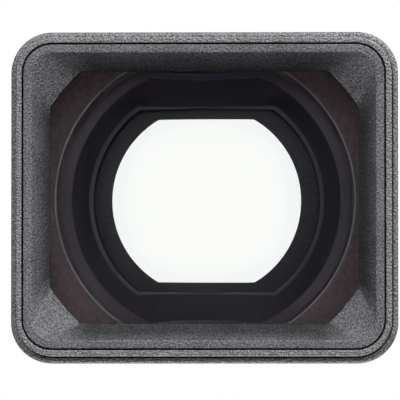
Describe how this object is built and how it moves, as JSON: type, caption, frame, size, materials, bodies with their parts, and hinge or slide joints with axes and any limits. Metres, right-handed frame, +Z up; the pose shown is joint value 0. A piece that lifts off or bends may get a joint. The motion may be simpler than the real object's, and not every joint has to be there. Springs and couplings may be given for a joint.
{
  "type": "wide-angle conversion lens",
  "caption": "Rectangular magnetic wide-angle converter for a pocket camera: glass group in a barrel, moulded shells and a funnel hood with cut corners.",
  "frame": {"origin": "on the optical axis, in the rear face of the seat pad that meets the camera", "axes": "+X to the right seen from the front, -Y out of the front glass towards the scene, +Y towards the camera, +Z up"},
  "size_m": [0.03, 0.0135, 0.0256],
  "materials": {
    "shell": "fine pebbled dark grey moulding",
    "hood": "fine pebbled dark grey moulding",
    "gasket": "matt black",
    "front_glass": "polished, with a brown and purple anti-reflection coating",
    "rear_glass": "polished, with a faint green and purple anti-reflection coating",
    "stop_film": "matt black film",
    "barrel": "black anodised",
    "baffle": "matt black, finely grooved",
    "plate": "satin black",
    "pad": "soft matt black",
    "magnet": "nickel plated",
    "screw": "blackened steel"
  },
  "bodies": {
    "root": {"rear_shell": "shell", "front_shell": "shell", "hood": "hood", "hood_gasket": "gasket", "front_lens": "front_glass", "front_stop": "stop_film", "lens_barrel": "barrel", "front_spacer": "baffle", "middle_lens": "rear_glass", "rear_lens": "rear_glass", "aperture_stop": "stop_film", "rear_plate": "plate", "seat_pad": "pad", "magnet_upper_right": "magnet", "magnet_upper_left": "magnet", "magnet_lower_left": "magnet", "magnet_lower_right": "magnet", "barrel_screws": "screw"}
  },
  "joints": []
}
